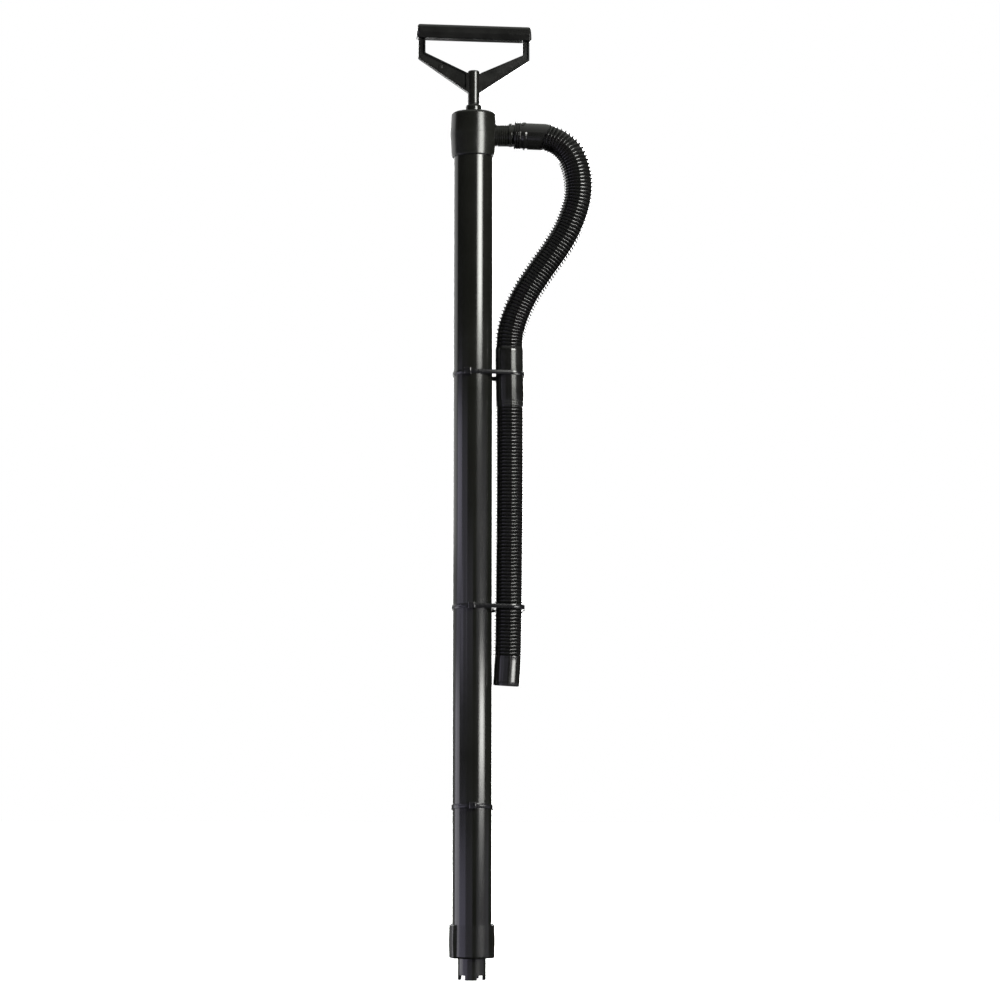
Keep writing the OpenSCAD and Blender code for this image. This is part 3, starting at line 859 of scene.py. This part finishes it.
def tie_strap(name, z, r1, r2, span, tilt):
    """Strap that lies flat on what it holds, higher in front where the tilt is positive."""
    half = 2.35
    thick = 1.15
    section = rounded([
        (0, -half, 0.2), (thick, -half, 0.45), (thick, half, 0.45), (0, half, 0.2),
    ], 2)
    points = []
    path = belt(r1, r2, span)
    for middle, angle in path:
        out = Vector((math.cos(angle), math.sin(angle)))
        rise = -middle.y * math.tan(math.radians(tilt))
        for away, up in section:
            spot = middle + out * away
            points.append((spot.x, spot.y, z + rise + up))
    n = len(section)
    faces = []
    for i in range(len(path)):
        a = i * n
        b = (i + 1) % len(path) * n
        faces += [(a + k, a + (k + 1) % n, b + (k + 1) % n, b + k) for k in range(n)]
    return new_piece(name, points, faces, 50)


def tie_head(x, r, z, tilt):
    """Locking head with the strap's cut tail standing out of its left side."""
    front = -math.sqrt((r + 1.1) ** 2 - x**2)
    rise = -front * math.tan(math.radians(tilt))
    width = 8
    height = 7.2
    deep = 4.6
    block = rounded([
        (x - width / 2, front - deep, 1.2), (x + width / 2, front - deep, 2.2),
        (x + width / 2, front + 0.6, 0), (x - width / 2, front + 0.6, 0),
    ], 5)
    middle = z + rise
    head = extrude("head", block, middle - height / 2, middle + height / 2, facing_up)
    soften(head, 0.7, 3, 60)
    left = x - 1.6
    right = x + 1.2
    low_edge = middle - 1.7
    high_edge = middle + 1.7
    window = [(left, low_edge), (right, low_edge), (right, high_edge), (left, high_edge)]
    face = front - deep
    combine(head, extrude("window", window, face - 2, face + 0.6, facing_front), "DIFFERENCE")
    for k in range(3):  # the tail narrows in three steps
        start = x - width / 2 - 0.9 * (k + 1)
        near = front - 2.9 + 0.1 * k
        far = front - 1.5
        half = 2.1 - 0.12 * k
        outline = [(start, near), (start + 1.6, near), (start + 1.6, far), (start, far)]
        tail = extrude("tail", outline, middle - half, middle + half, facing_up)
        combine(head, tail, "UNION")
    return head


def make_tie(name, node, hose_r, span, tilt, head_x):
    """One tie at its CAD node's height, round the barrel and round the hose at that span."""
    z = (low(node).z + high(node).z) / 2
    barrel_r = high("barrel").x + 0.12
    tie = tie_strap(name, z, barrel_r, hose_r, span, tilt)
    combine(tie, tie_head(head_x, barrel_r, z, tilt), "UNION")
    shade(tie, 40)
    finish_piece(tie, "tie_nylon", "pump_body", node)


def make_ties():
    """Two ties hold the hose, and the lowest is round the barrel alone."""
    make_tie("tie_upper", "cable_tie_upper", MID_CUFF_R + 0.1, 39, 6, -5)
    make_tie("tie_middle", "cable_tie_middle", CREST_R + 0.1, 38.5, 6, -0.5)
    make_tie("tie_lower", "cable_tie_lower", 0, 0, 8, 1)


# ---------------------------------------------------------------- handle


def mirrored(outline):
    """Outline reflected in X = 0."""
    return [(-x, z) for x, z in reversed(outline)]


def across(x, z):
    """Place on a lathe whose axis is along Y, through that X and Z."""
    return lambda r, angle, y: (x + r * math.cos(angle), y, z + r * math.sin(angle))


def make_handle_frame():
    """V-shaped frame with a web between its border ribs, and the glossy hub that holds the rod."""
    rest = high("gland_collar").z
    top = high("handle_frame").z
    hub_top = rest + 36
    hub_r = 6.5
    cap_r = 4.1
    cap_bottom = hub_top - 2.8
    half = 60.2
    bar = 7.4
    depth = 7
    rib = 1.7
    web = 1.6
    # Heights above the collar of the V's outer and inner edges, at the middle and at the bars,
    # and of the recess's corners between them
    outer_tip = 7.6
    outer_corner = 48
    inner_tip = 30
    inner_corner = 54
    recess_low = 49.8
    recess_high = 52.9

    outer = rounded([
        (0, rest + outer_tip, 0), (half, rest + outer_corner, 3), (half, top, 0),
        (-half, top, 0), (-half, rest + outer_corner, 3),
    ], 5)
    body = extrude("handle_vee", outer, -depth / 2, depth / 2, facing_front)
    window = rounded([
        (0, rest + inner_tip, 0), (half - bar, rest + inner_corner, 1.6), (half - bar, top + 5, 0),
        (-half + bar, top + 5, 0), (-half + bar, rest + inner_corner, 1.6),
    ], 5)
    combine(body, extrude("window", window, -depth, depth, facing_front), "DIFFERENCE")

    near_hub = hub_r + 2.2
    outer_slope = (outer_corner - outer_tip) / half
    inner_slope = (inner_corner - inner_tip) / (half - bar)
    recess = [
        (near_hub, rest + outer_tip + outer_slope * near_hub + 1.8),
        (half - rib, rest + recess_low), (half - rib, top + 5),
        (half - bar + rib, top + 5), (half - bar + rib, rest + recess_high),
        (near_hub, rest + inner_tip + inner_slope * near_hub - 1.7),
    ]
    recess = rounded([(x, z, 0.8 if z < top else 0) for x, z in recess], 3)
    for outline in (recess, mirrored(recess)):
        for side in (-1, 1):
            start, end = sorted((side * web, side * depth))
            cutter = extrude("recess", outline, start, end, facing_front)
            combine(body, cutter, "DIFFERENCE")
    face = -web - 0.12
    root = -web + 0.5
    mark = [(0, face), (2.4, face), (2.5, root), (0, root)]
    combine(body, lathe("ejector", mark, 48, across(-36.5, rest + 39.6)), "UNION")
    soften(body, 0.55, 3, 30)

    hub = rounded([
        (0, rest + 0.1, 0), (hub_r - 0.2, rest + 0.1, 0.5), (hub_r, hub_top, 1.6),
        (cap_r, hub_top, 0.3), (cap_r, cap_bottom, 0), (0, cap_bottom, 0),
    ], 5)
    combine(body, lathe("hub", hub, 96), "UNION")
    rod_hole = [(0, rest - 5), (ROD_R, rest - 5), (ROD_R, hub_top - 10), (0, hub_top - 10)]
    combine(body, lathe("rod_hole", rod_hole, 96), "DIFFERENCE")
    screw_hole = [(0, hub_top - 12), (2, hub_top - 12), (2, hub_top), (0, hub_top)]
    combine(body, lathe("screw_hole", screw_hole, 48), "DIFFERENCE")

    even_normals(shade(body, 35))
    turned(body, HANDLE_TURN)
    finish_piece(body, "satin_handle", "rod_and_handle", "handle_frame")
    body.data.materials.append(MATERIALS["gloss_moulding"])
    for face in body.data.polygons:
        if math.hypot(face.center.x, face.center.y) < (hub_r + 0.05) * MM:
            face.material_index = 1


def make_grip():
    """Hand bar with a crease along its front and back, and a boss round each side bar."""
    bottom = low("handle_grip").z
    top = high("handle_grip").z
    half_length = 61.6
    half = 10
    half_under = 7.5
    half_over = 6.4
    crease = bottom + 6
    shoulder = top - 3
    section = rounded([
        (-half_under, bottom, 1.2), (half_under, bottom, 1.2), (half, crease, 1.0),
        (half - 0.6, shoulder, 2.5), (half_over, top, 3.2), (-half_over, top, 3.2),
        (-half + 0.6, shoulder, 2.5), (-half, crease, 1.0),
    ], 5)
    grip = pillow("hand_bar", section, -half_length, half_length, 2.6, facing_side)
    boss_top = crease + 1.8
    half_boss = 8.2
    for side in (-1, 1):
        start, end = sorted((side * 52.4, side * 62.2))
        outline = rounded([
            (start, -half_boss, 3), (end, -half_boss, 3), (end, half_boss, 3),
            (start, half_boss, 3),
        ], 5)
        combine(grip, pillow("boss", outline, bottom, boss_top, 1.4, facing_up), "UNION")
    even_normals(shade(grip, 50))
    turned(grip, HANDLE_TURN)
    finish_piece(grip, "satin_handle", "rod_and_handle", "handle_grip")


# ---------------------------------------------------------------- scene


bpy.context.scene.view_settings.view_transform = "Standard"
spout_axis = low("pump_head").z + SPOUT_RISE
make_camera()
make_hose(spout_axis)
finish_cad_nodes()
make_barrel(spout_axis)
make_head(spout_axis)
make_collar()
make_coupling()
make_intake()
make_ties()
make_handle_frame()
make_grip()
make_world()
make_lights()
make_floor()
